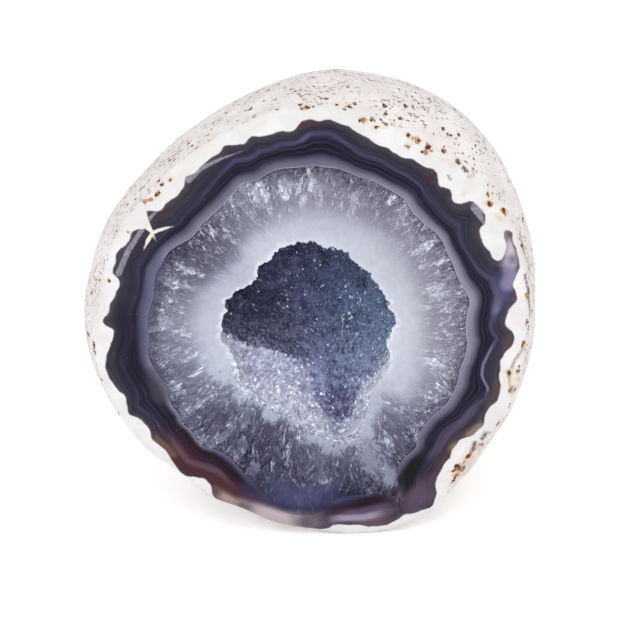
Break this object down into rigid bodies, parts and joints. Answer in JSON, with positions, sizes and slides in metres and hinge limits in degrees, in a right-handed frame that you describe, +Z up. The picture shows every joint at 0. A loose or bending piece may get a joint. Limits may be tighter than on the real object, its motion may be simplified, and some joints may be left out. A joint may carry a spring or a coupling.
{
  "type": "agate geode",
  "caption": "Polished half of an agate nodule that stands on a small ground flat, with a white porous rind, dark banded agate, grey quartz and a crystal-lined hollow.",
  "frame": {"origin": "centre of the bounding box's bottom, on the plane of the ground flat", "axes": "+Z up, the polished cut face towards -Y and leaning back by 8 degrees, +X to the right as the face is looked at"},
  "size_m": [0.1102, 0.0635, 0.1076],
  "materials": {
    "geode_stone": "porous off-white rind, cut face polished",
    "quartz_crystals": "glassy crystal faces"
  },
  "bodies": {
    "root": {"geode_body": "geode_stone", "crystal_crust": "quartz_crystals"}
  },
  "joints": []
}
